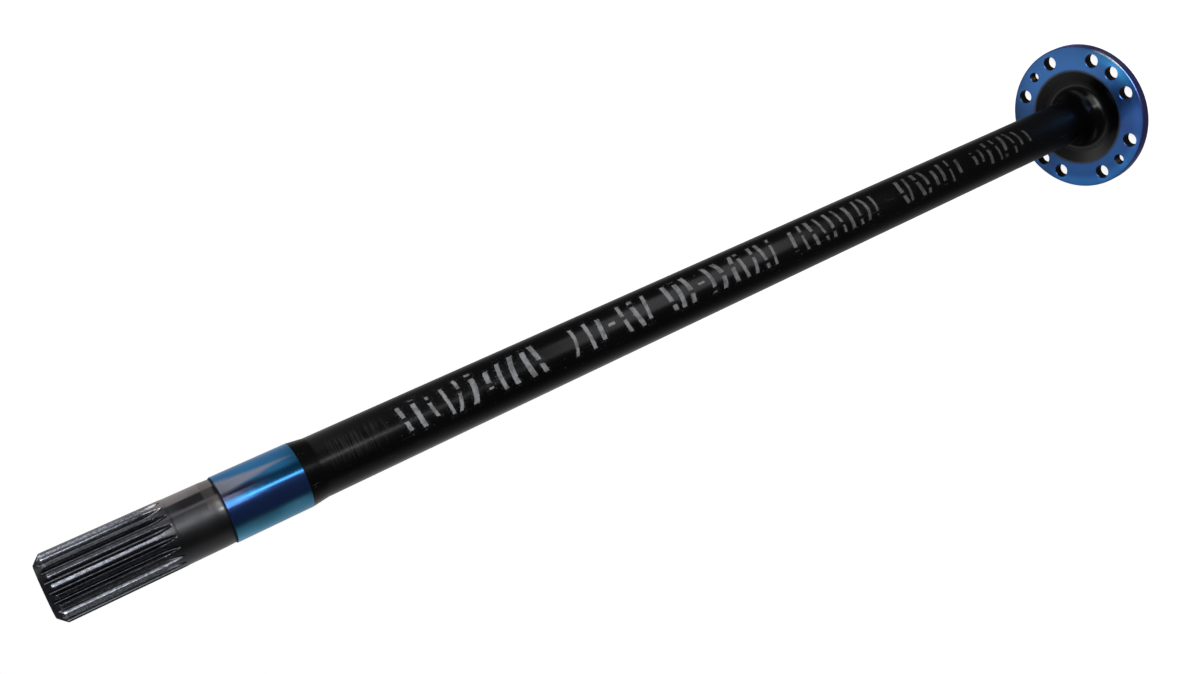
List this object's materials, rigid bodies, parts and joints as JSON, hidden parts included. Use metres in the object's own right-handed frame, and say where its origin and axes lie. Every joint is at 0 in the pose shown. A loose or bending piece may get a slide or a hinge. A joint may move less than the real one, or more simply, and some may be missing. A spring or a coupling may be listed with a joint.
{
  "type": "full-floating rear axle shaft",
  "caption": "One-piece truck rear axle shaft: involute spline end, bare length, blue seat, black shaft, dished and drilled wheel flange.",
  "frame": {"origin": "centre of the flange's outer face", "axes": "+Z along the shaft towards the splined end, +X through one jacking hole"},
  "size_m": [0.116, 0.116, 0.815],
  "materials": {
    "axle_shaft": "satin-gloss black enamel, blue lacquer on the seat and flange, bare oiled steel on the spline"
  },
  "bodies": {
    "root": {"axle_shaft": "axle_shaft"}
  },
  "joints": []
}
